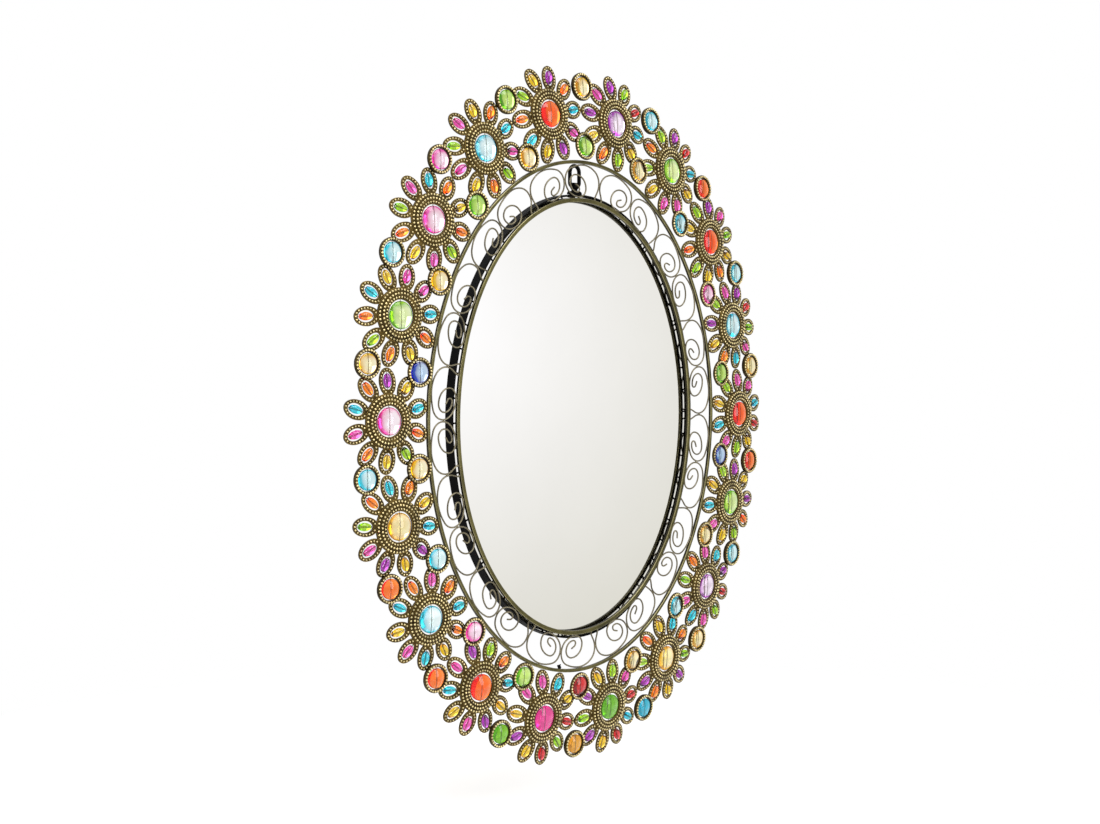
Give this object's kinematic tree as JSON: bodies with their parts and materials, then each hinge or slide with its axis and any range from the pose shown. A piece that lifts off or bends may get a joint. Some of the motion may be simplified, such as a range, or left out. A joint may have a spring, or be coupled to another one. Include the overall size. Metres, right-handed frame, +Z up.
{
  "type": "framed mirror",
  "caption": "Oval wall mirror in a welded metal frame of spiral wires and a belt of brass flowers set with coloured beads and stones, hung by a swinging ring.",
  "frame": {"origin": "centre of the backing board's rear face, in the plane of the wall", "axes": "+X to the viewer's right, +Y into the wall, +Z up; the glass faces -Y"},
  "size_m": [0.696, 0.0205, 0.7972],
  "materials": {
    "antique_brass": "antique brass plate, dark in the recesses",
    "ring_brass": "worn antique brass",
    "scroll_wire": "brown-grey lacquered steel wire",
    "black_steel": "satin black",
    "bead_wire": "drawn wire",
    "mirror": "silvered float glass",
    "board": "bare hardboard",
    "clear_yellow": "polished clear glass",
    "clear_orange": "polished clear glass",
    "clear_red": "polished clear glass",
    "clear_pink": "polished clear glass",
    "clear_purple": "polished clear glass",
    "clear_green": "polished clear glass",
    "clear_cyan": "polished clear glass",
    "clear_blue": "polished clear glass"
  },
  "bodies": {
    "frame": {"backing_board": "board", "backing_tabs": "black_steel", "flower_01": "antique_brass", "flower_02": "antique_brass", "flower_03": "antique_brass", "flower_04": "antique_brass", "flower_05": "antique_brass", "flower_06": "antique_brass", "flower_07": "antique_brass", "flower_08": "antique_brass", "flower_09": "antique_brass", "flower_10": "antique_brass", "flower_11": "antique_brass", "flower_12": "antique_brass", "flower_13": "antique_brass", "flower_14": "antique_brass", "flower_15": "antique_brass", "flower_16": "antique_brass", "flower_17": "antique_brass", "flower_18": "antique_brass", "front_ring": "ring_brass", "hanger_strap": "black_steel", "hub_stones_cyan": "clear_cyan", "hub_stones_green": "clear_green", "hub_stones_orange": "clear_orange", "hub_stones_pink": "clear_pink", "hub_stones_purple": "clear_purple", "hub_stones_yellow": "clear_yellow", "hub_wires": "bead_wire", "inner_link_bezels": "antique_brass", "link_stones_blue": "clear_blue", "link_stones_cyan": "clear_cyan", "link_stones_green": "clear_green", "link_stones_orange": "clear_orange", "link_stones_pink": "clear_pink", "link_stones_red": "clear_red", "link_stones_yellow": "clear_yellow", "link_wires": "bead_wire", "mirror_glass": "mirror", "outer_link_bezels": "antique_brass", "outer_ring": "ring_brass", "petal_beads_cyan": "clear_cyan", "petal_beads_green": "clear_green", "petal_beads_orange": "clear_orange", "petal_beads_pink": "clear_pink", "petal_beads_purple": "clear_purple", "petal_beads_red": "clear_red", "petal_beads_yellow": "clear_yellow", "petal_wires": "bead_wire", "rim_posts": "black_steel", "rim_tray": "black_steel", "scroll_wires_left": "scroll_wire", "scroll_wires_right": "scroll_wire"},
    "ring": {"hanging_ring": "black_steel"}
  },
  "joints": [
    {"name": "ring_swing", "type": "hinge", "parent": "frame", "child": "ring", "pos_m": [0, -0.004, 0.26545], "axis": [1, 0, 0], "range_deg": [-138, 13]}
  ]
}
